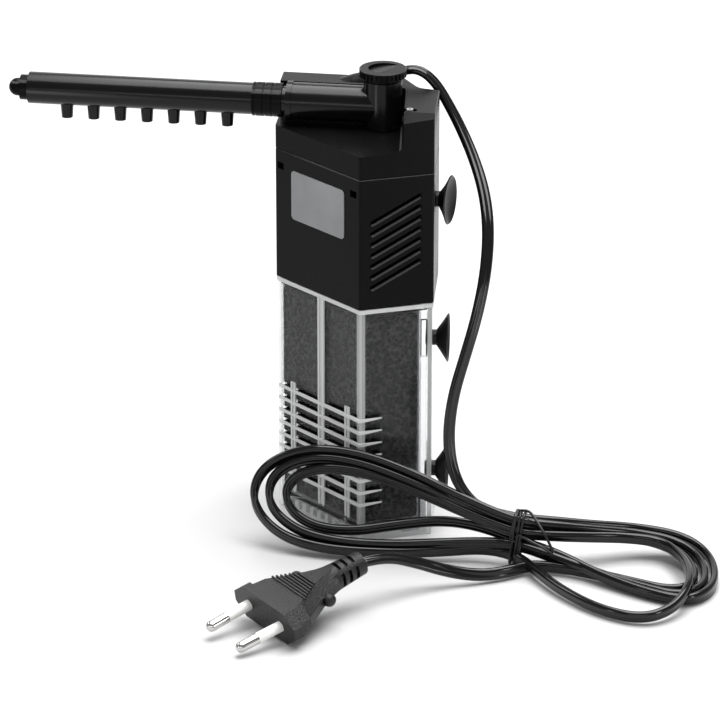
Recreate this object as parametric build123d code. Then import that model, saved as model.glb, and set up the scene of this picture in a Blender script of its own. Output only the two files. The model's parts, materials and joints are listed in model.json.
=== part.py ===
from build123d import *
import math
import os

# Corner-shaped internal aquarium filter: pump head on top, clear foam container below,
# swivelling outlet with a spray bar, three suction cups and a mains lead.
# Millimetres, +Z up, origin at the middle of the footprint's box, on the surface it stands on.

# Plan of the body, seen from above: six corners, the NEAR one points forward. The back right corner is
# cut off, to clear the silicone bead in a tank's corner.
NEAR = (6.2, -28.5)
RIGHT = (31.5, -16.2)
SIDE_END = (28.7, 15.5)
BACK_CUT = (18.5, 28.5)
BACK_LEFT = (-31.6, 28.5)
LEFT = (-30.1, 2.9)
EDGE_ROUND = 1.0
EDGE_BREAK = 0.35

# Heights of the head
HOUSING_LOW = 92.0
SEAM = 141.7
DECK = 150.5
RIM_TOP = 162.9
HEAD_WALL = 2.2
PLATE_LOW = 107.5
PLATE_TOP = 109.5

# Outlet: elbow, knob and spray bar
ELBOW_X, ELBOW_Y = 9.0, 7.2
BAR_Z = 158.8
BARREL_R = 7.05
BARREL_TOP = 168.6
KNOB_R = 8.65
KNOB_LOW = 170.1
KNOB_TOP = 173.1
RUNNING = 0.08
GAP = 0.3
NECK_R = 5.2
NECK_END = -35.8
FLANGE_RIGHT = -24.1
FLANGE_LEFT = -26.2
COUPLING_RIGHT = -27.9
COUPLING_LEFT = -38.8
BAR_R = 5.85
BAR_BORE = 4.5
BAR_LEFT = -122.8
NOZZLES = 7
NOZZLE_PITCH = 10.03
FIRST_NOZZLE_X = -108.9

# Pump, on its own vertical axis
PUMP_X, PUMP_Y = -9.0, 4.0
SHAFT_R = 1.0
CAN_R = 6.8
CAN_BORE = 5.5
CAN_TOP = 133.0
COVER_LOW = 98.5
COVER_R = 12.0
COVER_WALL = 1.4
SCREW_ANGLES = (90, 180, -45)
SCREW_CIRCLE = 14.4
SCREW_TIP = 110.8

# Riser from the pump chamber to the outlet
RISER_R = 5.2
SOCKET_R = 6.6
SOCKET_LOW = 137.0
SHANK_R = 5.0

# Container
BOX_INSET = 0.5
BOX_WALL = 1.7
INNER_ROUND = 2.0
BOX_TOP = HOUSING_LOW - GAP
FLOOR_LOW = 4.4
FLOOR_TOP = 6.0
RIB = 1.2
BARS = 8
BAR_LOW_Z = 14.9
BAR_PITCH = 4.8
BAR_HEIGHT = 1.1
SLOT_HEIGHT = 1.4
PARTITION_X = 22.7
PARTITION_TURN = 11.0

# Suction cups
CUP_R = 9.1
CUP_REACH = 5.3
CUP_FLEX = 12.0

# Mains lead: a flat twin cable, modelled as a round tube as wide as the cable
CORD_D = 4.7
FLOOR_GAP = 0.4
TIE_X = 66.2
BUNDLE_Y, BUNDLE_Z = -38.5, 10.9
BUNDLE_HALF_DEPTH = 5.5
BUNDLE_HALF_HEIGHT = 8.8

# Plug: a flat two-pin plug resting on its front edge
PLUG_FACE = (-14.0, -113.1, 7.7)
PLUG_HEADING = 46.0
PLUG_PITCH = 12.0
PLUG_ROLL = 5.0
PLUG_LENGTH = 43.0
PIN_SPACING = 18.6
PIN_TIP_SPACING = 17.5
PIN_LENGTH = 19.0
SLEEVE_LENGTH = 10.0
PIN_R = 2.0


def outline(inset=0.0, corner=None):
    """The body's plan, moved inwards by inset, with rounded corners."""
    face = make_face(Polyline(NEAR, RIGHT, SIDE_END, BACK_CUT, BACK_LEFT, LEFT, close=True))
    if inset:
        face = offset(face, amount=-inset, kind=Kind.INTERSECTION)
    radius = max(EDGE_ROUND - inset, 0.4) if corner is None else corner
    return fillet(face.vertices(), radius)


def slab(face, low, high):
    """A flat shape raised from low to high."""
    return extrude(Pos(0, 0, low) * face, amount=high - low, dir=(0, 0, 1))


def polygon(points):
    return make_face(Polyline(*points, close=True))


def rod(x, y, radius, low, high):
    """An upright cylinder."""
    return Pos(x, y, (low + high) / 2) * Cylinder(radius, high - low)


def bar_rod(radius, left, right):
    """A cylinder along X, on the spray bar's axis."""
    place = Pos((left + right) / 2, ELBOW_Y, BAR_Z) * Rot(0, 90, 0)
    return place * Cylinder(radius, right - left)


def box(x_range, y_range, z_range):
    """A box between three pairs of coordinates."""
    size = [high - low for low, high in (x_range, y_range, z_range)]
    middle = [(low + high) / 2 for low, high in (x_range, y_range, z_range)]
    return Pos(*middle) * Box(*size)


def wall_plane(start, end):
    """A wall seen from outside: x to the right along it, y up, z outwards."""
    along = (Vector(*end) - Vector(*start)).normalized()
    outwards = (along.Y, -along.X, 0)
    return Plane(origin=(*start, 0), x_dir=(along.X, along.Y, 0), z_dir=outwards)


FRONT = wall_plane(LEFT, NEAR)
FRONT_LENGTH = (Vector(*NEAR) - Vector(*LEFT)).length
RIGHT_FACE = wall_plane(NEAR, RIGHT)
SIDE = wall_plane(RIGHT, SIDE_END)


def on_wall(plane, x_range, z_range, depth_range):
    """A box on a wall: along it, up it, and outwards from it."""
    size = [high - low for low, high in (x_range, z_range, depth_range)]
    middle = [(low + high) / 2 for low, high in (x_range, z_range, depth_range)]
    return plane * Pos(*middle) * Box(*size)


def raised_plan():
    """The L-shaped raised rim: a block along the back and a strip down the right side."""
    strip_front = (21.0, -21.3)
    inner_corner = (15.8, 18.7)
    notch_inner = (20.9, 17.2)
    notch_left = (13.5, 28.5)
    left_at_block = (-31.0, 18.7)
    points = [strip_front, RIGHT, SIDE_END, notch_inner, notch_left, BACK_LEFT, left_at_block, inner_corner]
    face = polygon(points)
    notch = face.vertices().sort_by_distance((*notch_inner, 0))[0]
    inner = face.vertices().sort_by_distance((*inner_corner, 0))[0]
    face = fillet([notch, inner], 5.0)
    outer = face.vertices().sort_by_distance((*RIGHT, 0))[0]
    return fillet([outer], EDGE_ROUND)


# ---------------------------------------------------------------- head

CUP_ON_HEAD = (15.7, 126.5)
CUPS_ON_BOX = {"suction_cup_middle": (7.7, 75.5), "suction_cup_lower": (5.6, 24.3)}
SNAP_WINDOWS = (2.9, 44.4)
SNAP_Z = 135.6
LOUVRES = 7
LOUVRE_LOW = 98.4
LOUVRE_PITCH = 4.15
BOOT_LENGTH = 21.0
BOOT_END = (11.7, 23.5, 166.2)
BOOT_RISE = 20.0
NOZZLE_AIR = (21.4, -9.1)


def louvre_slots():
    """Slanted round-ended grooves in the right face, each with a bevelled mouth."""
    length, height, slope, depth, bevel = 20.8, 1.0, 26.3, 4.2, 0.6
    slot = extrude(SlotOverall(length, height), amount=-depth)
    slot += extrude(SlotOverall(length + 2 * bevel, height + 2 * bevel), amount=-bevel, taper=45)
    first = (13.8, 104.4)
    return [RIGHT_FACE * (Pos(first[0], first[1] + index * LOUVRE_PITCH, 0) * Rot(0, 0, slope) * slot)
            for index in range(LOUVRES)]


def broken_edges(body, height):
    """The body with the edges of its flat face at this height chamfered."""
    edges = [edge for edge in body.edges() if abs(edge.bounding_box().min.Z - height) < 0.01
             and abs(edge.bounding_box().max.Z - height) < 0.01]
    return chamfer(edges, EDGE_BREAK)


def screw_places():
    """Where the three pump cover screws stand."""
    for angle in SCREW_ANGLES:
        turn = math.radians(angle)
        yield PUMP_X + SCREW_CIRCLE * math.cos(turn), PUMP_Y + SCREW_CIRCLE * math.sin(turn)


def motor_housing():
    shell = broken_edges(slab(outline(), HOUSING_LOW, SEAM), SEAM)
    shell -= slab(outline(HEAD_WALL), HOUSING_LOW - 1, SEAM + 1)
    shell += on_wall(RIGHT_FACE, (2.0, 26.4), (LOUVRE_LOW, 134.5), (-HEAD_WALL - 3.0, -HEAD_WALL + 0.5))
    plate = slab(outline(HEAD_WALL - 0.5), PLATE_LOW, PLATE_TOP)
    for x, y in screw_places():
        plate += rod(x, y, 2.6, PLATE_TOP - 0.5, SCREW_TIP + 0.2)
    shell += plate
    shell -= rod(PUMP_X, PUMP_Y, CAN_R, PLATE_LOW - 1, PLATE_TOP + 1)
    shell -= rod(ELBOW_X, ELBOW_Y, RISER_R, PLATE_LOW - 1, PLATE_TOP + 1)
    for x, y in screw_places():
        shell -= rod(x, y, 1.0, PLATE_LOW - 1, SCREW_TIP)
    for slot in louvre_slots():
        shell -= slot
    for x in SNAP_WINDOWS:
        shell -= on_wall(FRONT, (x - 1.8, x + 1.8), (SNAP_Z - 1.3, SNAP_Z + 1.3), (-3.0, 1.0))
    shell -= SIDE * Pos(CUP_ON_HEAD[0], CUP_ON_HEAD[1], -1.5) * Cylinder(2.0, 5.0)
    return shell


def boot_place():
    """Frame of the cable boot: +Z along it, from inside the block to its outer end."""
    rise = math.radians(BOOT_RISE)
    along = (math.cos(rise), 0, math.sin(rise))
    start = [end - BOOT_LENGTH * part for end, part in zip(BOOT_END, along)]
    return Plane(origin=start, x_dir=(0, 1, 0), z_dir=along)


def boot_body():
    profile = Polyline((0, 0, 0), (4.3, 0, 0), (4.3, 0, 5.0), (2.9, 0, BOOT_LENGTH), (0, 0, BOOT_LENGTH),
                       close=True)
    return revolve(make_face(profile), axis=Axis.Z)


def upper_cover():
    cover = broken_edges(slab(outline(), SEAM, DECK), SEAM)
    cover += broken_edges(slab(raised_plan(), DECK, RIM_TOP), RIM_TOP)
    foot = [edge for edge in cover.edges().filter_by(GeomType.LINE)
            if abs(edge.center().Z - DECK) < 0.01 and edge.center().X > 14
            and abs(edge.tangent_at(0.5).Y) > 0.9 and edge.center().X < 21]
    cover = fillet(foot, 4.0)
    tilt = 8.0
    cover -= Pos(26, -11.5, RIM_TOP) * Rot(tilt, 0, 0) * Pos(0, -15, 5) * Box(30, 30, 10)
    cover -= slab(outline(HEAD_WALL), SEAM - 1, DECK - HEAD_WALL)
    cover -= box((-28.8, -14), (21.1, 26.2), (DECK - 3, RIM_TOP - 2.4))
    strip_pocket = polygon([(21.3, -4.5), (28.2, -4.5), (27.3, 13.0), (19.2, 14.0)])
    cover -= slab(strip_pocket, DECK - 3, RIM_TOP - 2.4)
    cover -= rod(ELBOW_X, ELBOW_Y, SOCKET_R, SEAM, DECK + 1)
    cover -= rod(ELBOW_X, ELBOW_Y, BARREL_R + GAP, DECK, RIM_TOP)
    cover -= boot_place() * boot_body()
    air_x, air_y = NOZZLE_AIR
    cover -= Pos(air_x - 0.4, air_y, RIM_TOP) * extrude(SlotOverall(6.2, 3.2), amount=-3.4)
    cover -= rod(air_x, air_y, 1.2, DECK - 4, RIM_TOP)
    for x in SNAP_WINDOWS:
        cover += on_wall(FRONT, (x - 1.3, x + 1.3), (SEAM + 0.3, DECK - 1), (-3.7, -2.0))
        cover += on_wall(FRONT, (x - 1.3, x + 1.3), (SNAP_Z - 1.6, SEAM + 1), (-3.7, -2.4))
        cover += on_wall(FRONT, (x - 1.3, x + 1.3), (SNAP_Z - 0.9, SNAP_Z + 0.9), (-2.6, -1.9))
    return cover


def label_plate():
    width, height = 30.0, 18.7
    plate = extrude(RectangleRounded(width, height, 1.6), amount=0.3)
    return FRONT * (Pos(9.4 + width / 2, 126.2, 0) * plate)


def air_tube():
    """The small upright tube that draws air, in the rim beside the elbow."""
    air_x, air_y = NOZZLE_AIR
    return rod(air_x, air_y, 1.2, DECK - 4, RIM_TOP + 0.4) - rod(air_x, air_y, 0.6, DECK - 5, RIM_TOP + 1)


def cable_boot():
    boot = boot_body()
    for index in range(4):
        height = 10.5 + 2.3 * index
        boot -= Pos(0, 0, height) * (Cylinder(6, 0.8) - Cylinder(2.9, 0.8))
    return boot_place() * boot


def suction_cup(plane, along, height, wall, reach, flex=0.0):
    """A cup pressed through its wall, with its rim reach millimetres out, flexed sideways by an angle."""
    stem = Pos(0, 0, -wall / 2) * Cylinder(2.0, wall) + Pos(0, 0, -wall - 0.5) * Cylinder(2.8, 1.0)
    stem += Pos(0, 0, 0.8) * Cylinder(2.9, 1.6)
    profile = [
        Line((0, 0, 1.0), (2.6, 0, 1.0)),
        ThreePointArc((2.6, 0, 1.0), (4.7, 0, 2.5), (CUP_R, 0, reach - 0.4)),
        Line((CUP_R, 0, reach - 0.4), (CUP_R - 0.4, 0, reach)),
        TangentArc((0, 0, 3.0), (CUP_R - 0.4, 0, reach), tangent=(1, 0, 0)),
        Line((0, 0, 3.0), (0, 0, 1.0)),
    ]
    disc = Pos(0, 0, 1.0) * Rot(0, -flex, 0) * Pos(0, 0, -1.0) * revolve(make_face(profile), axis=Axis.Z)
    return plane * (Pos(along, height, 0) * (stem + disc))


def suction_cup_upper():
    return suction_cup(SIDE, *CUP_ON_HEAD, HEAD_WALL, CUP_REACH, CUP_FLEX)


# ---------------------------------------------------------------- pump

STATOR_X = (-21.0, 3.0)
STATOR_Y = (-1.0, 20.0)
STATOR_Z = (114.0, 127.0)
ARM_GAP = (-16.2, -1.8)
YOKE_Y = 14.0


def stator_core():
    core = box(STATOR_X, STATOR_Y, STATOR_Z)
    return core - box(ARM_GAP, (STATOR_Y[0] - 1, YOKE_Y), (STATOR_Z[0] - 1, STATOR_Z[1] + 1))


def coil_bobbin():
    tube = box((-16.1, -1.9), (YOKE_Y - 0.9, 20.9), (113.1, 127.9))
    for x in (-16.1, -2.9):
        tube += box((x, x + 1.0), (11.1, 24.0), (111.3, 129.8))
    return tube - box((-17, -1), (YOKE_Y, 20.0), STATOR_Z)


def coil_winding():
    coil = box((-15.1, -2.9), (11.5, 23.6), (111.7, 129.4))
    return coil - box((-16, -2), (YOKE_Y - 0.9, 20.9), (113.1, 127.9))


def rotor_can():
    """Sealed well that keeps the water out of the coil."""
    can = rod(PUMP_X, PUMP_Y, CAN_R, PLATE_LOW, CAN_TOP)
    can += rod(PUMP_X, PUMP_Y, CAN_R + 1.5, PLATE_TOP, PLATE_TOP + 1.2)
    return can - rod(PUMP_X, PUMP_Y, CAN_BORE, PLATE_LOW - 1, CAN_TOP - 1.5)


def chamber_plan(radius, riser_radius, half_width):
    """Round pump chamber with a duct across to the riser."""
    reach = math.dist((PUMP_X, PUMP_Y), (ELBOW_X, ELBOW_Y))
    turn = math.degrees(math.atan2(ELBOW_Y - PUMP_Y, ELBOW_X - PUMP_X))
    plan = Circle(radius) + Pos(reach, 0) * Circle(riser_radius)
    plan += Pos(reach / 2, 0) * Rectangle(reach, 2 * half_width)
    return Pos(PUMP_X, PUMP_Y) * Rot(0, 0, turn) * plan


def pump_cover():
    cover = slab(chamber_plan(COVER_R, 7.2, 6.4), COVER_LOW, PLATE_LOW)
    for x, y in screw_places():
        cover += rod(x, y, 3.0, PLATE_LOW - 3, PLATE_LOW)
    inside = chamber_plan(COVER_R - COVER_WALL, 7.2 - COVER_WALL, 6.4 - COVER_WALL)
    cover -= slab(inside, COVER_LOW + 1.5, PLATE_LOW + 1)
    cover -= rod(PUMP_X, PUMP_Y, 4.6, COVER_LOW - 1, COVER_LOW + 2)
    spider = rod(PUMP_X, PUMP_Y, 2.6, COVER_LOW, COVER_LOW + 1.5)
    for angle in (0, 120, 240):
        spoke = Pos(PUMP_X, PUMP_Y, COVER_LOW + 0.75) * Rot(0, 0, angle) * Pos(2.5, 0, 0) * Box(5, 1.2, 1.5)
        spider += spoke
    cover += spider - rod(PUMP_X, PUMP_Y, 1.9, COVER_LOW - 1, COVER_LOW + 2)
    for x, y in screw_places():
        cover -= rod(x, y, 1.0, PLATE_LOW - 4, PLATE_LOW + 1)
    return cover


def pump_cover_screws():
    screws = []
    for x, y in screw_places():
        screw = rod(x, y, 1.0, PLATE_LOW - 3, SCREW_TIP) + rod(x, y, 2.0, PLATE_LOW - 4.6, PLATE_LOW - 3)
        screws.append(screw - Pos(x, y, PLATE_LOW - 4.6) * Box(2.4, 0.6, 1.2))
    return Compound(children=screws)


def impeller_shaft():
    return rod(PUMP_X, PUMP_Y, SHAFT_R, COVER_LOW + 0.4, CAN_TOP - 2.1)


def shaft_bush_lower():
    return rod(PUMP_X, PUMP_Y, 1.9, COVER_LOW, 100.4) - rod(PUMP_X, PUMP_Y, SHAFT_R, COVER_LOW + 0.4, 101)


def shaft_bush_upper():
    bush = rod(PUMP_X, PUMP_Y, CAN_BORE, 129.3, CAN_TOP - 1.5)
    return bush - rod(PUMP_X, PUMP_Y, SHAFT_R, 129, CAN_TOP - 2.1)


def impeller():
    wheel = rod(PUMP_X, PUMP_Y, 9.2, 105.6, 106.8) + rod(PUMP_X, PUMP_Y, 2.4, 101.0, 110.4)
    for angle in range(0, 360, 60):
        vane = Pos(PUMP_X, PUMP_Y, 103.4) * Rot(0, 0, angle) * Pos(5.6, 0, 0) * Box(7.0, 1.0, 4.8)
        wheel += vane
    return wheel - rod(PUMP_X, PUMP_Y, SHAFT_R + RUNNING, 100, 111)


def rotor_magnet():
    return rod(PUMP_X, PUMP_Y, 4.9, 110.4, 128.8) - rod(PUMP_X, PUMP_Y, SHAFT_R + RUNNING, 110, 129)


def riser_tube():
    tube = rod(ELBOW_X, ELBOW_Y, RISER_R, PLATE_LOW, SOCKET_LOW)
    tube += rod(ELBOW_X, ELBOW_Y, SOCKET_R, SOCKET_LOW, DECK)
    tube -= rod(ELBOW_X, ELBOW_Y, 3.8, PLATE_LOW - 1, SOCKET_LOW + 2)
    return tube - rod(ELBOW_X, ELBOW_Y, SHANK_R + RUNNING, SOCKET_LOW + 1.5, DECK + 1)


# ---------------------------------------------------------------- outlet

VALVE_R = 5.6
SEAL_R = 0.5
SEAL_SINK = 0.4


def outlet_elbow():
    elbow = rod(ELBOW_X, ELBOW_Y, SHANK_R, 139.0, DECK + 0.5)
    elbow += rod(ELBOW_X, ELBOW_Y, BARREL_R, DECK + 0.4, BARREL_TOP)
    elbow += bar_rod(6.8, FLANGE_RIGHT, ELBOW_X)
    elbow += bar_rod(7.2, FLANGE_LEFT, FLANGE_RIGHT)
    elbow += bar_rod(NECK_R, NECK_END, FLANGE_LEFT)
    elbow -= rod(ELBOW_X, ELBOW_Y, 3.6, 138, BAR_Z)
    elbow -= rod(ELBOW_X, ELBOW_Y, VALVE_R, DECK + 2.0, BARREL_TOP + 1)
    elbow -= bar_rod(3.9, NECK_END - 1, ELBOW_X)
    shank_groove = Pos(ELBOW_X, ELBOW_Y, 144.5) * Torus(SHANK_R - SEAL_SINK, SEAL_R)
    neck_groove = Pos(-33.0, ELBOW_Y, BAR_Z) * Rot(0, 90, 0) * Torus(NECK_R - SEAL_SINK, SEAL_R)
    return elbow - shank_groove - neck_groove


def elbow_seal():
    return Pos(ELBOW_X, ELBOW_Y, 144.5) * Torus(SHANK_R - SEAL_SINK, SEAL_R - 0.04)


def coupling_seal():
    return Pos(-33.0, ELBOW_Y, BAR_Z) * Rot(0, 90, 0) * Torus(NECK_R - SEAL_SINK, SEAL_R - 0.04)


def flow_valve():
    """Hollow plug with a side window; turning it closes the outlet."""
    plug = rod(ELBOW_X, ELBOW_Y, VALVE_R - RUNNING, DECK + 2.3, BARREL_TOP)
    plug += rod(ELBOW_X, ELBOW_Y, 2.5, BARREL_TOP, 171.4)
    plug -= rod(ELBOW_X, ELBOW_Y, 4.2, DECK, BARREL_TOP - 3)
    return plug - bar_rod(3.6, ELBOW_X - 8, ELBOW_X)


def flow_knob():
    """Scalloped knob with a slanting thumb recess."""
    knob = broken_edges(rod(ELBOW_X, ELBOW_Y, KNOB_R, KNOB_LOW, KNOB_TOP), KNOB_TOP)
    knob += rod(ELBOW_X, ELBOW_Y, 6.9, BARREL_TOP + GAP, KNOB_LOW)
    teeth = 30
    notch = Pos(KNOB_R, 0, (KNOB_LOW + KNOB_TOP) / 2 - 0.9) * Box(1.3, 0.85, KNOB_TOP - KNOB_LOW)
    for index in range(teeth):
        knob -= Pos(ELBOW_X, ELBOW_Y) * Rot(0, 0, 360 * index / teeth) * notch
    recess = Rot(0, 0, 150) * Rot(0, 7, 0) * Pos(0, 0, 1.75) * Cylinder(5.9, 4.0)
    knob -= Pos(ELBOW_X + 0.6, ELBOW_Y - 0.3, KNOB_TOP) * recess
    return knob - rod(ELBOW_X, ELBOW_Y, 2.5, 168, 171.4)


def bar_coupling():
    """Ribbed sleeve that turns on the elbow's neck and holds the spray bar."""
    sleeve = bar_rod(6.25, COUPLING_LEFT, COUPLING_RIGHT) + bar_rod(BAR_BORE, COUPLING_LEFT - 6.5, COUPLING_LEFT)
    for left in (-38.2, -34.9, -31.7):
        sleeve -= bar_rod(7.5, left, left + 0.7) - bar_rod(5.75, left, left + 0.7)
    sleeve -= bar_rod(NECK_R + RUNNING, NECK_END - 0.4, COUPLING_RIGHT + 1)
    return sleeve - bar_rod(3.5, COUPLING_LEFT - 8, NECK_END)


def spray_bar():
    tube = bar_rod(BAR_R, BAR_LEFT, COUPLING_LEFT)
    reach = 4.8
    for index in range(NOZZLES):
        x = FIRST_NOZZLE_X + index * NOZZLE_PITCH
        low = BAR_Z - BAR_R - reach
        tube += Pos(x, ELBOW_Y, (low + BAR_Z - 5) / 2) * Cone(2.05, 2.45, BAR_Z - 5 - low)
    tube -= bar_rod(BAR_BORE, BAR_LEFT - 1, COUPLING_LEFT + 1)
    for index in range(NOZZLES):
        x = FIRST_NOZZLE_X + index * NOZZLE_PITCH
        tube -= rod(x, ELBOW_Y, 1.25, BAR_Z - 12, BAR_Z - 3)
    return tube


def spray_bar_cap():
    """End plug with a ball grip, turned about the bar's axis. Its x grows away from the bar."""
    collar, collar_r = 3.2, 4.65
    ball_at, ball_r = 4.5, 3.3
    meet_r = math.sqrt(ball_r ** 2 - (ball_at - collar) ** 2)
    sides = Polyline((ball_at + ball_r, 0), (-6, 0), (-6, BAR_BORE), (0, BAR_BORE), (0, collar_r),
                     (collar, collar_r), (collar, meet_r))
    ball = ThreePointArc((collar, meet_r), (ball_at, ball_r), (ball_at + ball_r, 0))
    cap = revolve(make_face([sides, ball]), axis=Axis.X)
    return Pos(BAR_LEFT, ELBOW_Y, BAR_Z) * Rot(0, 0, 180) * cap


# ---------------------------------------------------------------- container

RIB_COLUMNS = ((8.1, 10.7), (24.0, 27.5), (39.4, 42.0))
SLOT_COLUMNS = ((3.0, 8.0), (10.8, 23.9), (27.6, 39.3), (42.1, 46.0))


def wall_slots():
    """Intake slots just above the raised bars, on the front and round the near corner."""
    slots = []
    for index in range(BARS):
        low = BAR_LOW_Z + BAR_HEIGHT / 2 + index * BAR_PITCH
        span = (low, low + SLOT_HEIGHT)
        for columns in SLOT_COLUMNS:
            slots.append(on_wall(FRONT, columns, span, (-3.2, 0.2)))
        slots.append(on_wall(RIGHT_FACE, (2.2, 8.1), span, (-3.2, 0.2)))
    return slots


def raised_bars():
    """Horizontal bars that stand out of the wall, wrap the near corner and run to a point at each end."""
    near = Vector(*NEAR)
    left_end = near + (Vector(*LEFT) - near).normalized() * 47.0
    right_end = near + (Vector(*RIGHT) - near).normalized() * 8.6
    corners = [left_end + Vector(0.8, 1.0), left_end, near + Vector(-0.25, -0.6), right_end,
               right_end + Vector(-0.5, 1.0), near + Vector(0, 2.4)]
    plan = polygon([(point.X, point.Y) for point in corners])
    half = BAR_HEIGHT / 2
    spike = RIGHT_FACE * extrude(polygon([(1.5, -half), (10, -half), (10, half - 0.2)]), amount=4, both=True)
    bar = slab(plan, -half, half) - spike
    return [Pos(0, 0, BAR_LOW_Z + index * BAR_PITCH) * bar for index in range(BARS)]


def upright_ribs():
    """Upright ribs on the front: one full height, two short ones, each with raised edges."""
    ribs = []
    for (left, right), top in zip(RIB_COLUMNS, (52.0, 90.6, 52.0)):
        for x in (left, right - 0.9):
            ribs.append(on_wall(FRONT, (x, x + 0.9), (8.0, top), (-1.2, 0.15)))
        ribs.append(on_wall(FRONT, (left, right), (8.0, top), (-1.2, -0.3)))
    return ribs


def filter_container():
    inner = BOX_INSET + BOX_WALL
    shell = slab(outline(BOX_INSET), 0, BOX_TOP)
    shell -= slab(outline(inner, INNER_ROUND), FLOOR_TOP, BOX_TOP + 1)
    shell -= slab(outline(inner, INNER_ROUND), -1, FLOOR_LOW)
    for size in ((54, RIB), (RIB, 40)):
        shell += slab(Rectangle(*size) & outline(inner - 0.1), 0, FLOOR_LOW + 0.1)
    rim = slab(outline(0.1) - outline(inner), BOX_TOP - 1.6, BOX_TOP)
    lip = slab(outline(inner - 0.1) - outline(3.9, 1.5), BOX_TOP - 3, BOX_TOP)
    lip += slab(outline(HEAD_WALL + GAP) - outline(3.9, 1.5), BOX_TOP - 1, 96.5)
    shell += rim + lip
    for slot in wall_slots():
        shell -= slot
    for index in range(10):
        x = 4.0 + 4.35 * index
        shell -= on_wall(FRONT, (x - 1.15, x + 1.15), (1.4, 4.2), (-3.0, 1.0))
    shell -= on_wall(RIGHT_FACE, (16.3, 22.9), (1.9, FLOOR_LOW), (-3.0, 1.0))
    shell -= on_wall(RIGHT_FACE, (23.8, 26.0), (70.9, 85.3), (-3.0, 1.0))
    for along, height in CUPS_ON_BOX.values():
        shell -= SIDE * Pos(along, height, -1.5) * Cylinder(2.0, 4.0)
    for piece in raised_bars() + upright_ribs():
        shell += piece
    return shell


def foam_side(clearance):
    """The part of the container's inside that the foam fills, left of the suction cup channel."""
    start = Vector(*NEAR) + (Vector(*RIGHT) - Vector(*NEAR)).normalized() * (PARTITION_X - clearance)
    turn = math.radians(PARTITION_TURN)
    along = Vector(-math.sin(turn), math.cos(turn)) * 60
    far = start + along
    near = start - along
    return polygon([(near.X, near.Y), (far.X, far.Y), (-60, far.Y), (-60, near.Y)])


def foam_partition():
    """Clear wall between the foam and the channel behind the suction cups."""
    inside = outline(BOX_INSET + BOX_WALL, INNER_ROUND)
    strip = (inside & foam_side(-0.8)) - foam_side(0)
    return slab(strip, FLOOR_TOP, BOX_TOP - 3.2)


def foam_cartridge():
    inside = outline(BOX_INSET + BOX_WALL + 0.4, INNER_ROUND - 0.4)
    return slab(inside & foam_side(0.4), FLOOR_TOP + 0.1, 87.4)


# ---------------------------------------------------------------- lead, tie and plug

LEAD_ROUTE = [
    BOOT_END,
    (16.6, 23.5, 168.0),
    (21.6, 23.5, 167.0),
    (26.3, 22.9, 163.0),
    (30.5, 21.6, 156.8),
    (36.3, 17.0, 148.6),
    (42.9, 8.6, 138.8),
    (48.0, -1.6, 129.6),
    (50.8, -11.4, 119.6),
    (51.1, -19.6, 106.4),
    (48.7, -24.6, 91.0),
    (44.9, -28.0, 76.4),
    (41.2, -31.0, 62.6),
    (39.6, -33.0, 48.4),
    (41.0, -34.6, 35.8),
    (45.3, -36.0, 26.4),
]


def plug_place():
    """Frame of the plug: origin in its pin face, +Z towards the cable, +X across the pins."""
    heading, pitch = math.radians(PLUG_HEADING), math.radians(PLUG_PITCH)
    flat = math.cos(pitch)
    along = Vector(math.cos(heading) * flat, math.sin(heading) * flat, math.sin(pitch))
    across = Vector(-math.sin(heading), math.cos(heading), 0).rotate(Axis((0, 0, 0), tuple(along)), PLUG_ROLL)
    return Plane(origin=PLUG_FACE, x_dir=tuple(across), z_dir=tuple(along))


def plug_point(x, y, z):
    return tuple(plug_place().from_local_coords(Vector(x, y, z)))


TAIL_ROUTE = [
    plug_point(0, 0, PLUG_LENGTH),
    (22.2, -75.4, 16.4),
    (32.0, -67.6, 11.6),
    (43.6, -61.9, 6.0),
    (55.0, -57.4, 3.0),
    (65.0, -51.9, 3.0),
    (71.6, -45.5, 3.0),
]


def bend_radii(route, name):
    """The largest arc that each corner's two runs allow."""
    points = [Vector(*point) for point in route]
    radii = []
    for before, here, after in zip(points, points[1:], points[2:]):
        first, second = here - before, after - here
        half_turn = math.radians(first.get_angle(second)) / 2
        radii.append(0.45 * min(first.length, second.length) / math.tan(half_turn))
    print(name, "bend radii", [round(radius, 1) for radius in radii])
    return radii


def cord_tube(route, name):
    path = FilletPolyline(*route, radius=bend_radii(route, name))
    start = Plane(origin=path @ 0, z_dir=path % 0)
    tube = sweep(start * Circle(CORD_D / 2), path=path)
    print(name, "length", round(path.length, 1), "volume ratio",
          round(tube.volume / (math.pi * CORD_D ** 2 / 4 * path.length), 3))
    return tube


def cord_lead():
    return cord_tube(LEAD_ROUTE, "cord_lead")


def cord_tail():
    return cord_tube(TAIL_ROUTE, "cord_tail")


def waist(left, right):
    """Part of the bundle of strands inside the tie."""
    section = Plane.YZ * Pos(BUNDLE_Y, BUNDLE_Z, left) * Ellipse(BUNDLE_HALF_DEPTH, BUNDLE_HALF_HEIGHT)
    return extrude(section, amount=right - left)


def cord_hank_leaning():
    """Outer shape of the loops that stand on edge, leaning towards the container."""
    lean = math.radians(12.5)
    plane = Plane(origin=(TIE_X, BUNDLE_Y - 1, 10.0), x_dir=(-1, 0, 0),
                  z_dir=(0, math.cos(lean), -math.sin(lean)))
    rim = [(2.6, 8), (12, 14.5), (26, 19), (48, 27), (66, 30), (82, 28), (94, 21), (100.5, 9),
           (96, -3), (86, -8), (70, -9.4), (30, -9.4), (2.6, -8)]
    loops = extrude(plane * fillet(polygon(rim).vertices(), 2.0), amount=3.5, both=True)
    return loops + waist(TIE_X - 5, TIE_X)


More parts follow.
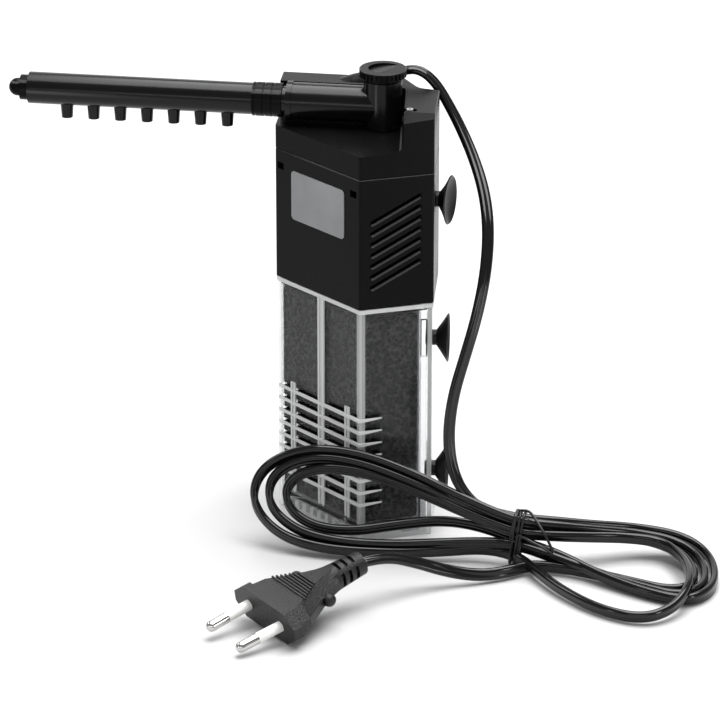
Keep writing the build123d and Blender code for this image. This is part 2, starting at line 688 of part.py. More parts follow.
def cord_hank_flat():
    """Outer shape of the loops that lie on the floor."""
    rim = [(70.5, -33.5), (90, -21), (112, -12.5), (130, -16), (139, -30), (141, -48), (138.5, -62),
           (130, -77), (116, -85.5), (100, -82), (83, -67), (73, -50), (70.5, -42)]
    loops = slab(fillet(polygon(rim).vertices(), 2.0), FLOOR_GAP, 9.0)
    return loops + waist(TIE_X, TIE_X + 6)


def cord_tie():
    """Wire tie round the bundle."""
    rise = 0.3
    wire = 1.5
    inner = Ellipse(BUNDLE_HALF_DEPTH + rise, BUNDLE_HALF_HEIGHT + rise)
    outer = Ellipse(BUNDLE_HALF_DEPTH + wire, BUNDLE_HALF_HEIGHT + wire)
    ring = extrude(Plane.YZ * Pos(BUNDLE_Y, BUNDLE_Z, TIE_X - 1.8) * (outer - inner), amount=3.6)
    return ring


def plug_hexagon(width, height):
    """The flat six-sided section of the plug."""
    shoulder = width / 2 - height * 0.42
    half = height / 2
    nose = height * 0.16
    points = [(-width / 2, -nose), (-shoulder, -half), (shoulder, -half), (width / 2, -nose),
              (width / 2, nose), (shoulder, half), (-shoulder, half), (-width / 2, nose)]
    return polygon(points)


def plug_grip():
    """Fine ribs across both broad faces, and a thumb stop on each side."""
    ribs = [Pos(0, side * 5.75, 11.6 + 1.3 * index) * Box(19.5 - 1.6 * index, 0.9, 0.6)
            for index in range(7) for side in (-1, 1)]
    stops = [Pos(side * 9.6, 0, 21.5) * Sphere(2.5) for side in (-1, 1)]
    return ribs + stops


def plug_relief():
    """The slotted cone round the cable."""
    relief = Pos(0, 0, (27.0 + PLUG_LENGTH) / 2) * Cone(5.3, 4.4, PLUG_LENGTH - 27.0)
    width = 1.4
    ring = Cylinder(6, width) - Cylinder(3.4, width)
    for turn in (45, 135):
        ring -= Rot(0, 0, turn) * Box(13, 1.8, width)
    for height in (32.2, 35.4, 38.6):
        relief -= Pos(0, 0, height) * ring
    return relief


def plug_body():
    body = extrude(plug_hexagon(35.3, 13.0), amount=3.6)
    sections = [(32.6, 11.8, 3.4), (31.0, 11.7, 9.0), (25.5, 11.5, 13.5), (19.5, 11.2, 19.0), (14.0, 10.8, 25.0),
                (11.4, 10.6, 29.5)]
    for (w0, h0, z0), (w1, h1, z1) in zip(sections, sections[1:]):
        body += loft([Pos(0, 0, z0) * plug_hexagon(w0, h0), Pos(0, 0, z1) * plug_hexagon(w1, h1)])
    for piece in plug_grip():
        body += piece
    body += plug_relief()
    for side in (-1, 1):
        body -= pin_place(side) * Pos(0, 0, 1.5) * Cylinder(PIN_R - 0.5, 5.0)
    return plug_place() * body


def pin_place(side):
    """Frame of one pin: origin where it leaves the face, +Z towards the cable."""
    toe = math.degrees(math.atan2((PIN_SPACING - PIN_TIP_SPACING) / 2, PIN_LENGTH))
    return Pos(side * PIN_SPACING / 2, 0, 0) * Rot(0, side * toe, 0)


def plug_pins():
    pins = []
    for side in (-1, 1):
        core = Pos(0, 0, (4.0 - SLEEVE_LENGTH) / 2) * Cylinder(PIN_R - 0.5, 4.0 + SLEEVE_LENGTH)
        tip_length = PIN_LENGTH - SLEEVE_LENGTH - PIN_R
        tip = Pos(0, 0, -SLEEVE_LENGTH - tip_length / 2) * Cylinder(PIN_R, tip_length)
        tip += Pos(0, 0, -PIN_LENGTH + PIN_R) * Sphere(PIN_R)
        pins.append(plug_place() * (pin_place(side) * (core + tip)))
    return Compound(children=pins)


def pin_sleeves():
    sleeves = []
    for side in (-1, 1):
        sleeve = Cylinder(PIN_R, SLEEVE_LENGTH) - Cylinder(PIN_R - 0.5, SLEEVE_LENGTH)
        sleeve = pin_place(side) * Pos(0, 0, -SLEEVE_LENGTH / 2) * sleeve
        sleeve -= Pos(0, 0, 5) * Box(60, 20, 10)
        sleeves.append(plug_place() * sleeve)
    return Compound(children=sleeves)


BUILDERS = [
    motor_housing, upper_cover, label_plate, air_tube, cable_boot, suction_cup_upper,
    stator_core, coil_bobbin, coil_winding, rotor_can, pump_cover, pump_cover_screws,
    impeller_shaft, shaft_bush_lower, shaft_bush_upper, impeller, rotor_magnet, riser_tube,
    outlet_elbow, elbow_seal, coupling_seal, flow_valve, flow_knob, bar_coupling, spray_bar,
    spray_bar_cap, filter_container, foam_partition, foam_cartridge,
    cord_lead, cord_hank_leaning, cord_hank_flat, cord_tail, cord_tie, plug_body, plug_pins, pin_sleeves,
]


def main():
    os.makedirs("parts", exist_ok=True)
    for build in BUILDERS:
        export_step(build(), f"parts/{build.__name__}.step")
    for name, place in CUPS_ON_BOX.items():
        sunk = Plane(SIDE.origin - SIDE.z_dir * BOX_INSET, x_dir=SIDE.x_dir, z_dir=SIDE.z_dir)
        cup = suction_cup(sunk, *place, BOX_WALL, CUP_REACH + BOX_INSET)
        export_step(cup, f"parts/{name}.step")


main()
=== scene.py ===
import json
import math
import bpy
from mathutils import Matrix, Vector, noise


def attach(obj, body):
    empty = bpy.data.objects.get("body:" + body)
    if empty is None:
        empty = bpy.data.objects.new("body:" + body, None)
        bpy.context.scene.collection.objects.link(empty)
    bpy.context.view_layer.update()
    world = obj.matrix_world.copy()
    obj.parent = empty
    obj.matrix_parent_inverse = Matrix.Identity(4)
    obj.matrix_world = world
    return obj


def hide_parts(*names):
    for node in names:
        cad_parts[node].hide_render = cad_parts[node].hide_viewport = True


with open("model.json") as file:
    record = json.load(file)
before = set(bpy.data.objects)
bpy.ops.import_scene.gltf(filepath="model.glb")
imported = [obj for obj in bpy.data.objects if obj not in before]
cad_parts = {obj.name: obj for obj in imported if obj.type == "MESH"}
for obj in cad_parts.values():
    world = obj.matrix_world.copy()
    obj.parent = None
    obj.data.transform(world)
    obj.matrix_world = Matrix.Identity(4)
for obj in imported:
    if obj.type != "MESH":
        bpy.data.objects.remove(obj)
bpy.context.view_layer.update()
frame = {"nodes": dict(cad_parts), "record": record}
NODES = frame["nodes"]
MM = 0.001

# Corners of the body's plan, in millimetres
NEAR = (6.2, -28.5)
RIGHT = (31.5, -16.2)
LEFT = (-30.1, 2.9)

# ---------------------------------------------------------------- camera

CAMERA_HEADING = math.radians(9.2)
CAMERA_DROP = math.radians(21.6)
CAMERA_EYE = Vector((0.2391, -1.4656, 0.6491))
CAMERA_LENS = 215
CAMERA_SENSOR = 36


def make_camera():
    data = bpy.data.cameras.new("camera")
    data.lens = CAMERA_LENS
    data.sensor_width = CAMERA_SENSOR
    camera = bpy.data.objects.new("camera", data)
    bpy.context.scene.collection.objects.link(camera)
    flat = math.cos(CAMERA_DROP)
    look = Vector((-math.sin(CAMERA_HEADING) * flat, math.cos(CAMERA_HEADING) * flat,
                   -math.sin(CAMERA_DROP)))
    camera.location = CAMERA_EYE
    camera.rotation_euler = look.to_track_quat("-Z", "Y").to_euler()
    bpy.context.scene.camera = camera


# ---------------------------------------------------------------- material helpers

# Noise scales are in cells per metre, grain and bump depths in metres, colours linear.
NOISE_LOW, NOISE_HIGH = 0.25, 0.75
COLOUR_DRIFT, COLOUR_DRIFT_DETAIL = 35, 3
SMUDGES, SMUDGES_DETAIL, SMUDGES_ROUGHNESS = 90, 5, 0.7
GLOSSIEST, DULLEST = 0.85, 1.2


def new_material(name):
    material = bpy.data.materials.new(name)
    material.use_nodes = True
    tree = material.node_tree
    return material, tree, tree.nodes["Principled BSDF"]


def add(tree, kind, **settings):
    """A new node. A setting is the value of the input of that name, or else an attribute."""
    node = tree.nodes.new(kind)
    for key, value in settings.items():
        if key in node.inputs:
            node.inputs[key].default_value = value
        else:
            setattr(node, key, value)
    return node


def object_coordinates(tree):
    return add(tree, "ShaderNodeTexCoord").outputs["Object"]


def noise_texture(tree, vector, scale, detail=4.0, roughness=0.6):
    texture = add(tree, "ShaderNodeTexNoise", Scale=scale, Detail=detail, Roughness=roughness)
    tree.links.new(vector, texture.inputs["Vector"])
    return texture.outputs["Fac"]


def ramp(tree, value, low, high, position=(0.3, 0.7)):
    """The colour low below the first position, high above the second."""
    node = add(tree, "ShaderNodeValToRGB")
    for element, colour, place in zip(node.color_ramp.elements, (low, high), position):
        element.color = (*colour, 1)
        element.position = place
    tree.links.new(value, node.inputs["Fac"])
    return node.outputs["Color"]


def spread(tree, value, low, high):
    """A noise's usual range stretched to low and high."""
    node = add(tree, "ShaderNodeMapRange",
               **{"From Min": NOISE_LOW, "From Max": NOISE_HIGH, "To Min": low, "To Max": high})
    tree.links.new(value, node.inputs["Value"])
    return node.outputs["Result"]


def bump(tree, shader, height, distance):
    node = add(tree, "ShaderNodeBump", Distance=distance, Strength=1.0)
    tree.links.new(height, node.inputs["Height"])
    tree.links.new(node.outputs["Normal"], shader.inputs["Normal"])


def math_node(tree, operation, first, second=0):
    """The result of a sum whose terms are numbers or other nodes' outputs."""
    node = add(tree, "ShaderNodeMath", operation=operation)
    for value, socket in zip((first, second), node.inputs):
        if isinstance(value, (int, float)):
            socket.default_value = value
        else:
            tree.links.new(value, socket)
    return node.outputs["Value"]


def blend(tree, share, colour, other):
    """Colour with its share replaced by the other colour."""
    mix = add(tree, "ShaderNodeMix", data_type="RGBA")
    factor, first, second = mix.inputs[0], mix.inputs[6], mix.inputs[7]
    tree.links.new(share, factor)
    tree.links.new(colour, first)
    second.default_value = (*other, 1)
    return mix.outputs[2]


def slope(tree):
    """The upward part of the surface's direction: 1 on a level top."""
    parts = add(tree, "ShaderNodeSeparateXYZ")
    surface = add(tree, "ShaderNodeNewGeometry")
    tree.links.new(surface.outputs["Normal"], parts.inputs["Vector"])
    return parts.outputs["Z"]


# ---------------------------------------------------------------- plastics and rubber

CHAMFER_SLOPE, CHAMFER_SPREAD = 0.69, 0.1


def moulded(name, colour, roughness, grain=0.00002, grain_size=2500, variation=0.15, specular=0.5):
    """Moulded plastic or rubber: a fine grain, a slow colour change and uneven gloss."""
    material, tree, shader = new_material(name)
    where = object_coordinates(tree)
    slow = noise_texture(tree, where, COLOUR_DRIFT, COLOUR_DRIFT_DETAIL)
    low = [part * (1 - variation) for part in colour]
    high = [part * (1 + variation) for part in colour]
    tree.links.new(ramp(tree, slow, low, high), shader.inputs["Base Color"])
    fine = noise_texture(tree, where, grain_size, 2)
    smudge = noise_texture(tree, where, SMUDGES, SMUDGES_DETAIL, SMUDGES_ROUGHNESS)
    tree.links.new(spread(tree, smudge, roughness * GLOSSIEST, roughness * DULLEST),
                   shader.inputs["Roughness"])
    bump(tree, shader, fine, grain)
    shader.inputs["Specular IOR Level"].default_value = specular
    return material


def lit_edges(material, colour):
    """Chamfers and bevels that slope upwards are lighter, as they catch the light."""
    tree = material.node_tree
    base = tree.nodes["Principled BSDF"].inputs["Base Color"]
    off = math_node(tree, "ABSOLUTE", math_node(tree, "SUBTRACT", slope(tree), CHAMFER_SLOPE))
    edge = math_node(tree, "LESS_THAN", off, CHAMFER_SPREAD)
    tree.links.new(blend(tree, edge, base.links[0].from_socket, colour), base)
    return material


# ---------------------------------------------------------------- clear container

# Lengths are in millimetres. Bars and ribs stand out to less than BAR_DEPTH inside the head's
# outline. Each edge painted pale is its corner, its reach and how much painted refraction it gets.
BAR_DEPTH, BARS_REFRACTION_PAINT = 0.45, 0.85
EDGES_REFRACTION_PAINT = [(NEAR, 2.6, 0.35), (NEAR, 1.3, 0.6), (LEFT, 2.6, 0.4), (RIGHT, 2.4, 0.5)]
EDGE_FADE = 0.8
RIM_BOTTOM, RIM_REFRACTION_PAINT = 90.1, 0.5
SKIRT_TOP, SKIRT_REFRACTION_PAINT = 4.4, 0.35
SLOTS_BOTTOM, SLOTS_TOP = 14, 52
LEVEL = 0.9
# The pale colour is painted light, standing in for the bright surroundings that thick clear plastic
# refracts.
CLEAR_COLOUR, REFRACTION_PAINT_COLOUR = (0.93, 0.94, 0.945), (0.66, 0.665, 0.665)
# Painted shade for the slots' level lower edges, and how much of the clear plastic it hides.
SLOT_SHADE_COLOUR, SLOT_SHADE_SHARE = (0.01, 0.01, 0.01), 0.9
CLEAREST = 0.985
CLEAR_IOR = 1.2
REFRACTION_PAINT_ROUGHNESS = 0.35


def beyond(tree, where, start, end, depth):
    """1 where a point stands outside the wall from start to end, moved in by depth."""
    along = (Vector(end) - Vector(start)).normalized()
    outwards = Vector((along.y, -along.x, 0))
    product = add(tree, "ShaderNodeVectorMath", operation="DOT_PRODUCT")
    product.inputs[1].default_value = outwards
    tree.links.new(where, product.inputs[0])
    limit = outwards.dot(Vector((*start, 0))) * MM - depth * MM
    return math_node(tree, "GREATER_THAN", product.outputs["Value"], limit)


def near_edge(tree, where, corner, reach):
    """1 close to an upright edge of the container, fading to 0 at reach."""
    flat = add(tree, "ShaderNodeVectorMath", operation="MULTIPLY")
    flat.inputs[1].default_value = (1, 1, 0)
    tree.links.new(where, flat.inputs[0])
    distance = add(tree, "ShaderNodeVectorMath", operation="DISTANCE")
    distance.inputs[1].default_value = (corner[0] * MM, corner[1] * MM, 0)
    tree.links.new(flat.outputs["Vector"], distance.inputs[0])
    share = add(tree, "ShaderNodeMapRange",
                **{"From Min": reach * MM * EDGE_FADE, "From Max": reach * MM, "To Min": 1, "To Max": 0})
    tree.links.new(distance.outputs["Value"], share.inputs["Value"])
    return share.outputs["Result"]


def at_height(tree, where, operation, height):
    """1 above or below a height."""
    parts = add(tree, "ShaderNodeSeparateXYZ")
    tree.links.new(where, parts.inputs["Vector"])
    return math_node(tree, operation, parts.outputs["Z"], height * MM)


def clear_plastic():
    """Clear polystyrene: walls are clear; thick corners, bars, ribs, the rim and the skirt get painted
    refraction, pale and less clear.
    """
    material, tree, shader = new_material("clear_plastic")
    where = object_coordinates(tree)
    bars = math_node(tree, "MAXIMUM", beyond(tree, where, LEFT, NEAR, BAR_DEPTH),
                     beyond(tree, where, NEAR, RIGHT, BAR_DEPTH))
    # Painted refraction: bars, rim, skirt and thick corners are made pale and less clear in place of the
    # light they refract.
    parts = [(bars, BARS_REFRACTION_PAINT),
             (at_height(tree, where, "GREATER_THAN", RIM_BOTTOM), RIM_REFRACTION_PAINT),
             (at_height(tree, where, "LESS_THAN", SKIRT_TOP), SKIRT_REFRACTION_PAINT)]
    parts += [(near_edge(tree, where, corner, reach), share) for corner, reach, share in EDGES_REFRACTION_PAINT]
    first, *others = [math_node(tree, "MULTIPLY", mask, share) for mask, share in parts]
    refraction_paint = first
    for other in others:
        refraction_paint = math_node(tree, "MAXIMUM", refraction_paint, other)

    # The slots' level lower edges get painted shade, dark and less clear, for the dark slots with the
    # foam behind them.
    painted_slot_shade = math_node(tree, "MULTIPLY", math_node(tree, "GREATER_THAN", slope(tree), LEVEL),
                      math_node(tree, "SUBTRACT", 1, bars))
    for operation, height in (("GREATER_THAN", SLOTS_BOTTOM), ("LESS_THAN", SLOTS_TOP)):
        painted_slot_shade = math_node(tree, "MULTIPLY", painted_slot_shade, at_height(tree, where, operation, height))

    colour = blend(tree, painted_slot_shade, ramp(tree, refraction_paint, CLEAR_COLOUR, REFRACTION_PAINT_COLOUR), SLOT_SHADE_COLOUR)
    tree.links.new(colour, shader.inputs["Base Color"])
    shader.inputs["IOR"].default_value = CLEAR_IOR
    opaque = math_node(tree, "MAXIMUM", refraction_paint, math_node(tree, "MULTIPLY", painted_slot_shade, SLOT_SHADE_SHARE))
    tree.links.new(math_node(tree, "SUBTRACT", CLEAREST, opaque), shader.inputs["Transmission Weight"])
    marks = spread(tree, noise_texture(tree, where, 60, 4), 0.02, 0.06)
    dull = math_node(tree, "MAXIMUM", marks, math_node(tree, "MULTIPLY", refraction_paint, REFRACTION_PAINT_ROUGHNESS))
    tree.links.new(dull, shader.inputs["Roughness"])
    bump(tree, shader, noise_texture(tree, where, 120, 2), 0.00002)
    return material


# ---------------------------------------------------------------- foam, metal and floor

# The pores' colour is painted shade in the sponge's holes.
PORE_SHADE, STRANDS = (0.001, 0.001, 0.001), (0.04, 0.04, 0.041)
PORE_SCALE, STRAND_SCALE = 620, 750
WAVE_PER_PITCH = 0.31


def foam_material():
    """Open-cell black sponge: pores painted dark as painted shade in the holes, between lighter strands.
    """
    material, tree, shader = new_material("black_foam")
    where = object_coordinates(tree)
    cells = add(tree, "ShaderNodeTexVoronoi", Scale=PORE_SCALE)
    tree.links.new(where, cells.inputs["Vector"])
    grain = noise_texture(tree, where, STRAND_SCALE, 5, 0.75)
    sponge = math_node(tree, "MULTIPLY", cells.outputs["Distance"], grain)
    tree.links.new(ramp(tree, sponge, PORE_SHADE, STRANDS, (0.2, 0.4)), shader.inputs["Base Color"])
    shader.inputs["Roughness"].default_value = 0.95
    shader.inputs["Specular IOR Level"].default_value = 0.05
    bump(tree, shader, sponge, 0.0008)
    return material


def metal(name, colour, roughness):
    """Drawn or ground metal with fine marks."""
    material, tree, shader = new_material(name)
    marks = noise_texture(tree, object_coordinates(tree), 900, 3)
    dark = [part * 0.85 for part in colour]
    tree.links.new(ramp(tree, marks, dark, colour), shader.inputs["Base Color"])
    shader.inputs["Metallic"].default_value = 1.0
    tree.links.new(spread(tree, marks, roughness * 0.7, roughness * 1.4), shader.inputs["Roughness"])
    bump(tree, shader, marks, 0.00001)
    return material


def striped(name, colour, roughness, direction, pitch):
    """Regular fine lines: metal laminations or wound wire."""
    material, tree, shader = new_material(name)
    lines = add(tree, "ShaderNodeTexWave", wave_type="BANDS", bands_direction=direction,
                Scale=WAVE_PER_PITCH / pitch)
    tree.links.new(object_coordinates(tree), lines.inputs["Vector"])
    dark = [part * 0.45 for part in colour]
    tree.links.new(ramp(tree, lines.outputs["Fac"], dark, colour, (0.1, 0.6)),
                   shader.inputs["Base Color"])
    shader.inputs["Roughness"].default_value = roughness
    shader.inputs["Metallic"].default_value = 1.0
    bump(tree, shader, lines.outputs["Fac"], 0.0001)
    return material


def floor_material():
    material, tree, shader = new_material("floor")
    drift = noise_texture(tree, object_coordinates(tree), 3, 2)
    tree.links.new(ramp(tree, drift, (0.52,) * 3, (0.54,) * 3), shader.inputs["Base Color"])
    shader.inputs["Roughness"].default_value = 0.55
    shader.inputs["Specular IOR Level"].default_value = 0.3
    return material


BLACK = (0.0035, 0.0035, 0.0038)
DULL_BLACK = (0.005, 0.005, 0.0052)
PLUG_BLACK = (0.003, 0.003, 0.0031)
MATERIALS = {
    "black_plastic": lit_edges(moulded("black_plastic", BLACK, 0.28, specular=0.06), (0.05,) * 3),
    "black_gloss": moulded("black_gloss", BLACK, 0.2, grain=0.000006, specular=0.22),
    "smoke_plastic": moulded("smoke_plastic", (0.25, 0.25, 0.26), 0.2),
    "label_foil": moulded("label_foil", (0.22, 0.225, 0.23), 0.4, grain=0.00001),
    "black_rubber": moulded("black_rubber", DULL_BLACK, 0.34, specular=0.25),
    "seal_rubber": moulded("seal_rubber", (0.02, 0.02, 0.02), 0.5),
    "steel_laminate": striped("steel_laminate", (0.45, 0.46, 0.48), 0.4, "Z", 0.0005),
    "stainless_steel": metal("stainless_steel", (0.62, 0.62, 0.64), 0.3),
    "white_plastic": moulded("white_plastic", (0.8, 0.8, 0.78), 0.3, variation=0.03),
    "copper_wire": striped("copper_wire", (0.75, 0.3, 0.12), 0.35, "X", 0.0004),
    "shaft_ceramic": moulded("shaft_ceramic", (0.8, 0.79, 0.76), 0.25, variation=0.03),
    "magnet_ferrite": moulded("magnet_ferrite", (0.06, 0.06, 0.065), 0.5),
    "clear_plastic": clear_plastic(),
    "black_foam": foam_material(),
    "cord_pvc": moulded("cord_pvc", BLACK, 0.12, grain=0.000004, specular=0.36),
    "tie_pvc": moulded("tie_pvc", DULL_BLACK, 0.3, specular=0.4),
    "plug_pvc": moulded("plug_pvc", PLUG_BLACK, 0.34, grain=0.0003, grain_size=2000, specular=0.4),
    "plated_brass": metal("plated_brass", (0.62, 0.61, 0.6), 0.12),
}

# ---------------------------------------------------------------- mesh helpers

SECTION_STEPS = 10
LINE_RESOLUTION = 10


def new_piece(name, vertices, faces, material):
    mesh = bpy.data.meshes.new(name)
    mesh.from_pydata([tuple(point) for point in vertices], [], faces)
    mesh.validate()
    mesh.materials.append(material)
    for polygon in mesh.polygons:
        polygon.use_smooth = True
    piece = bpy.data.objects.new(name, mesh)
    bpy.context.scene.collection.objects.link(piece)
    return piece


def spline_points(route):
    """The points of a smooth quadratic NURBS line with the route as its control points."""
    curve = bpy.data.curves.new("line", "CURVE")
    curve.dimensions = "3D"
    curve.resolution_u = LINE_RESOLUTION
    spline = curve.splines.new("NURBS")
    spline.points.add(len(route) - 1)
    for point, place in zip(spline.points, route):
        point.co = (*place, 1)
    spline.order_u = 3
    spline.use_endpoint_u = True
    holder = bpy.data.objects.new("line", curve)
    mesh = bpy.data.meshes.new_from_object(holder)
    points = [vertex.co.copy() for vertex in mesh.vertices]
    bpy.data.meshes.remove(mesh)
    bpy.data.objects.remove(holder)
    bpy.data.curves.remove(curve)
    return points


def tube_along(points, section, widths):
    """Rings of a section along a line. widths gives the section's wide direction at each point."""
    vertices, faces = [], []
    last = len(points) - 1
    for index, point in enumerate(points):
        ahead = points[min(index + 1, last)] - points[max(index - 1, 0)]
        along = ahead.normalized()
        wide = (widths[index] - along * widths[index].dot(along)).normalized()
        thin = along.cross(wide)
        vertices += [point + wide * x + thin * y for x, y in section]
    size = len(section)
    for ring in range(last):
        for step in range(size):
            a, b = ring * size + step, ring * size + (step + 1) % size
            faces.append((a, b, b + size, a + size))
    faces.append(tuple(range(size - 1, -1, -1)))
    faces.append(tuple(last * size + step for step in range(size)))
    return vertices, faces


def round_section(radius):
    turns = [2 * math.pi * step / SECTION_STEPS for step in range(SECTION_STEPS)]
    return [(radius * math.cos(turn), radius * math.sin(turn)) for turn in turns]


# ---------------------------------------------------------------- mains lead

CABLE_WIDTH = 4.7 * MM
CABLE_THICKNESS = 2.8 * MM

# Each stretch is its route and the directions of the cable's wide side, spaced evenly along it.
LEAD = [(11.7, 23.5, 166.2), (16.6, 23.5, 168.0), (21.6, 23.5, 167.0), (26.3, 22.9, 163.0),
        (30.5, 21.6, 156.8), (36.3, 17.0, 148.6), (42.9, 8.6, 138.8), (48.0, -1.6, 129.6),
        (50.8, -11.4, 119.6), (51.1, -19.6, 106.4), (48.7, -24.6, 91.0), (44.9, -28.0, 76.4),
        (41.2, -31.0, 62.6), (39.6, -33.0, 48.4), (41.0, -34.6, 35.8), (45.3, -36.0, 26.4),
        (54.5, -36.6, 19.8), (66.2, -36.7, 17.4)]
FLAT_LOOP_1 = [(78, -34, 16.0), (92, -28.5, 13.0), (109, -20.5, 9.5), (125, -18.5, 6.5),
               (135, -27, 4.2), (139.5, -42, 2.8), (138.5, -57, 2.6), (131, -66.5, 2.6),
               (116, -62, 2.6), (99, -52.5, 3.5), (82, -42, 6.5), (66.2, -36.7, 8.7)]
LEANING_LOOP_3 = [(52, -34.5, 12.5), (38, -33.5, 13.5), (22, -35.5, 11.5), (4, -38.5, 8.5),
                  (-11, -37.5, 9.5), (-20.5, -35, 16), (-19.5, -33.8, 25.5), (-9, -33.6, 31.5),
                  (8, -33.8, 31.0), (26, -35, 26.0), (46, -37.5, 19.0), (66.2, -40.3, 13.1)]
FLAT_LOOP_4 = [(78, -39.0, 12.4), (92, -33.5, 10.5), (106, -27.0, 8.4), (118, -26.0, 7.0),
               (126, -36, 6.6), (130.5, -50, 7.4), (131.5, -64, 7.0), (127, -77, 4.0),
               (116.5, -84.5, 2.6), (100, -78.5, 2.6), (84, -64.0, 3.2), (74.5, -51.0, 3.8),
               (66.2, -40.6, 4.3)]
LEANING_LOOP_1 = [(54, -36.5, 4.6), (37.3, -40.5, 3.8), (18, -43.5, 3.2), (-5, -44.5, 3.6),
                  (-23, -40.5, 6.5), (-33.5, -35.5, 17), (-29.5, -33.2, 30), (-14, -32.8, 38.2),
                  (6, -33.2, 38.0), (26, -34.5, 32.0), (45, -37.5, 24.5), (66.2, -40.3, 17.5)]
FLAT_LOOP_2 = [(78, -37.5, 15.6), (92, -32, 12.5), (108, -24.5, 9.0), (122.5, -22.5, 6.2),
               (131.5, -30, 4.2), (136, -43, 2.8), (135, -56, 2.6), (128, -63, 2.6),
               (115, -58.5, 2.6), (98, -50, 3.2), (82, -45, 6.0), (66.2, -40.3, 8.7)]
LEANING_LOOP_2 = [(54, -38.5, 8.0), (38, -40.5, 7.2), (20, -42.5, 6.0), (0, -42.8, 6.0),
                  (-16, -40.5, 8.5), (-27, -36.5, 16.5), (-25.5, -34, 28), (-12, -33.2, 35.2),
                  (6, -33.6, 34.6), (26, -35.2, 28.6), (46, -36.8, 21.0), (66.2, -36.7, 13.1)]
FLAT_LOOP_3 = [(78, -34.5, 12.2), (92, -29.5, 9.8), (107, -24.0, 7.6), (120, -24.5, 5.2),
               (128.5, -33, 3.6), (132.3, -45, 2.6), (131, -55, 2.6), (123, -58.5, 2.6),
               (110, -53.5, 2.6), (95, -48, 2.6), (82, -45, 2.8)]
TAIL = [(71.6, -45.5, 3.0), (65.0, -51.9, 3.0), (55.0, -57.4, 3.0), (43.6, -61.9, 6.0),
        (32.0, -67.6, 11.6), (22.2, -75.4, 16.4), (15.24, -82.84, 16.64)]

STANDING = (0, 0.35, -0.94)
LEANING = (0, 0.45, -0.89)
TURNED = (0.75, 0.65, 0)
STRETCHES = [
    (LEAD, [(0, 1, 0.1), (0.3, 0.95, 0), TURNED, TURNED, TURNED, LEANING]),
    (FLAT_LOOP_1, [LEANING, STANDING]),
    (LEANING_LOOP_3, [LEANING, LEANING]),
    (FLAT_LOOP_4, [STANDING, STANDING]),
    (LEANING_LOOP_1, [LEANING, LEANING]),
    (FLAT_LOOP_2, [STANDING, STANDING]),
    (LEANING_LOOP_2, [LEANING, LEANING]),
    (FLAT_LOOP_3, [STANDING, STANDING]),
    (TAIL, [(0, 0.2, -0.9), (0.6, -0.6, -0.3)]),
]


def twin_section():
    """Two round cores side by side, which leaves a groove along the middle of each broad side."""
    radius = CABLE_THICKNESS / 2
    centre = CABLE_WIDTH / 2 - radius
    reach = 180 - math.degrees(math.acos(min(centre / radius, 0.95)))
    points = []
    for side, middle in ((1, 0), (-1, 180)):
        for step in range(SECTION_STEPS + 1):
            turn = math.radians(middle - reach + 2 * reach * step / SECTION_STEPS)
            points.append((side * centre + radius * math.cos(turn), radius * math.sin(turn)))
    # The cores meet at their ends, where one point of the two is enough.
    return points[:SECTION_STEPS] + points[SECTION_STEPS + 1:-1]


def mains_lead(material):
    route, sides = [], []
    for points, directions in STRETCHES:
        for index, point in enumerate(points):
            place = index / (len(points) - 1) * (len(directions) - 1)
            before = min(int(place), len(directions) - 2)
            route.append([part * MM for part in point])
            sides.append(Vector(directions[before]).lerp(Vector(directions[before + 1]), place - before))
    line = spline_points(route)
    vertices, faces = tube_along(line, twin_section(), spline_points(sides))
    cable = new_piece("mains_lead", vertices, faces, material)
    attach(cable, "head")
    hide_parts("cord_lead", "cord_hank_leaning", "cord_hank_flat", "cord_tail")
    return cable, line


# ---------------------------------------------------------------- wire tie

# Lengths are in millimetres. Each turn goes round the bundle as a box with round corners.
TIE_CENTRE = (66.2, -38.5, 10.9)
TIE_HALF_DEPTH, TIE_HALF_HEIGHT = 4.4, 9.9
TIE_TURNS, TIE_STEPS = 4, 40
TIE_PITCH, TIE_SLANT = 1.05, 0.11
TIE_WANDER, TIE_WANDER_RATE = 0.35, 0.7
TIE_ROUNDNESS = 0.5
WIRE_RADIUS = 0.5
TIE_ENDS = [
    [(66.5, -37.5, 20.9), (69.5, -38.5, 21.9), (72.0, -41.0, 21.3), (75.0, -44.5, 18.6),
     (78.0, -47.5, 15.3), (80.8, -49.5, 10.6)],
    [(66.5, -43.3, 14.0), (69.5, -46.2, 14.2), (73.0, -48.2, 13.4), (77.0, -49.4, 12.2),
     (80.6, -49.9, 10.0)],
]


def tie_loops():
    """Turns of wire round the bundle, slightly slanted and uneven."""
    points = []
    for step in range(TIE_STEPS * TIE_TURNS + 1):
        turn = 2 * math.pi * step / TIE_STEPS
        across, up = math.cos(turn), math.sin(turn)
        y = TIE_HALF_DEPTH * math.copysign(abs(across) ** TIE_ROUNDNESS, across)
        z = TIE_HALF_HEIGHT * math.copysign(abs(up) ** TIE_ROUNDNESS, up)
        x = (TIE_PITCH * (step / TIE_STEPS - TIE_TURNS / 2) + TIE_SLANT * z
             + TIE_WANDER * math.sin(TIE_WANDER_RATE * turn))
        points.append(Vector((TIE_CENTRE[0] + x, TIE_CENTRE[1] - y, TIE_CENTRE[2] + z)) * MM)
    return points


def wire_tie(material):
    lines = [tie_loops()]
    lines += [spline_points([[part * MM for part in point] for point in end]) for end in TIE_ENDS]
    vertices, faces = [], []
    for line in lines:
        more, its_faces = tube_along(line, round_section(WIRE_RADIUS * MM),
                                     [Vector((1, 0.02, 0.01))] * len(line))
        faces += [[index + len(vertices) for index in face] for face in its_faces]
        vertices += more
    tie = new_piece("wire_tie", vertices, faces, material)
    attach(tie, "head")
    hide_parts("cord_tie")
    return tie


# ---------------------------------------------------------------- foam and CAD nodes

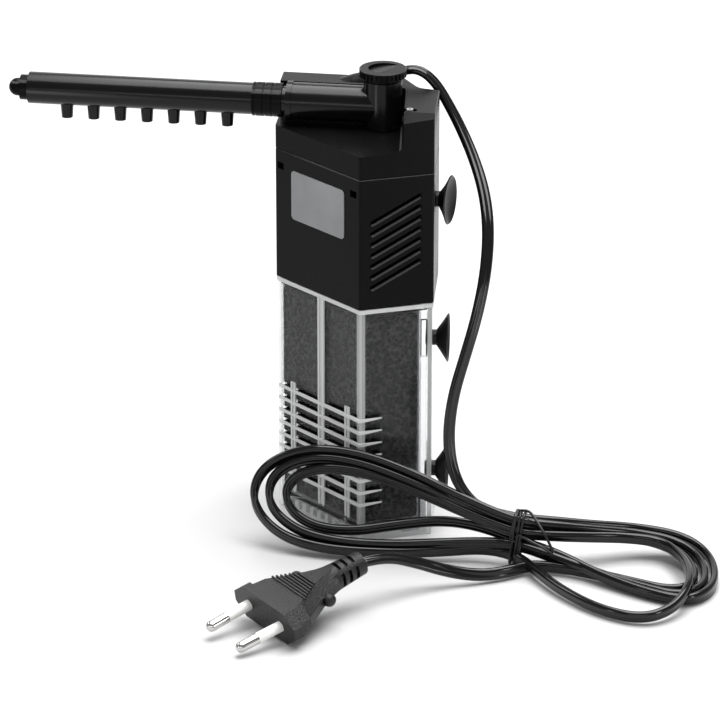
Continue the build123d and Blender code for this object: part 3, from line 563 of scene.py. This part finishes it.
FOAM_VOXEL = 1.2 * MM
FOAM_SINK, FOAM_ROUGHNESS = 0.25 * MM, 0.2 * MM
FOAM_COARSE, FOAM_FINE, FOAM_FINE_SHARE = 600, 1500, 0.6


def dress_cad():
    """Gives every CAD node the material of its slot in the record."""
    for part in frame["record"]["subparts"]:
        node = NODES[part["node"]]
        node.data.materials.clear()
        node.data.materials.append(MATERIALS[part["material_slot"]])


def foam_block():
    """The sponge inside the clear container, with a rough open surface."""
    piece = bpy.data.objects.new("foam_block", NODES["foam_cartridge"].data.copy())
    bpy.context.scene.collection.objects.link(piece)
    remesh = piece.modifiers.new("remesh", "REMESH")
    remesh.mode = "VOXEL"
    remesh.voxel_size = FOAM_VOXEL
    evaluated = piece.evaluated_get(bpy.context.evaluated_depsgraph_get())
    shape = bpy.data.meshes.new_from_object(evaluated)
    piece.modifiers.clear()
    piece.data = shape
    for vertex in shape.vertices:
        fine = noise.noise(vertex.co * FOAM_FINE)
        rough = noise.noise(vertex.co * FOAM_COARSE) + FOAM_FINE_SHARE * fine
        vertex.co -= vertex.normal * (FOAM_SINK + FOAM_ROUGHNESS * rough)
    shape.materials.clear()
    shape.materials.append(MATERIALS["black_foam"])
    for polygon in shape.polygons:
        polygon.use_smooth = True
    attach(piece, "container")
    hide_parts("foam_cartridge")


# ---------------------------------------------------------------- floor and light

FLOOR_SIZE = 12
FLOOR_HEIGHT = -0.2 * MM
WORLD_LIGHT = 0.3

# Name, place, the point it faces, width and height in metres, and watts
LIGHTS = [
    ("overhead", (0.2, 0.3, 1.5), (0.2, 0.3, 0), (1.3, 1.7), 58),
    ("back", (-0.3, 2.0, 0.8), (0, 0, 0.1), (2.2, 1.4), 9),
    ("left", (-1.25, 0.3, 1.05), (0, 0, 0.1), (0.5, 0.5), 5),
    ("front", (0.1, -1.0, 0.3), (0, 0, 0.12), (0.9, 0.12), 1.2),
    ("glint_left", (-0.2, -0.33, 0.07), (0, 0, 0.1), (0.05, 0.14), 0.08),
    ("glint_right", (0.33, -0.22, 0.07), (0, 0, 0.1), (0.05, 0.14), 0.15),
]


def stage():
    bpy.ops.mesh.primitive_plane_add(size=FLOOR_SIZE, location=(0, 0, FLOOR_HEIGHT))
    floor = bpy.context.object
    floor.name = "floor"
    floor.data.materials.append(floor_material())


def lighting():
    world = bpy.data.worlds.new("studio")
    world.use_nodes = True
    background = world.node_tree.nodes["Background"]
    background.inputs["Color"].default_value = (1, 1, 1, 1)
    background.inputs["Strength"].default_value = WORLD_LIGHT
    bpy.context.scene.world = world
    bpy.context.scene.view_settings.view_transform = "Standard"
    for name, place, aim, size, power in LIGHTS:
        data = bpy.data.lights.new(name, "AREA")
        data.shape = "RECTANGLE"
        data.size, data.size_y = size
        data.energy = power
        light = bpy.data.objects.new(name, data)
        bpy.context.scene.collection.objects.link(light)
        light.visible_camera = False
        light.location = place
        light.rotation_euler = (Vector(aim) - Vector(place)).to_track_quat("-Z", "Y").to_euler()


# ---------------------------------------------------------------- build

make_camera()
dress_cad()
foam_block()
cable, cable_line = mains_lead(MATERIALS["cord_pvc"])
tie = wire_tie(MATERIALS["tie_pvc"])
stage()
lighting()
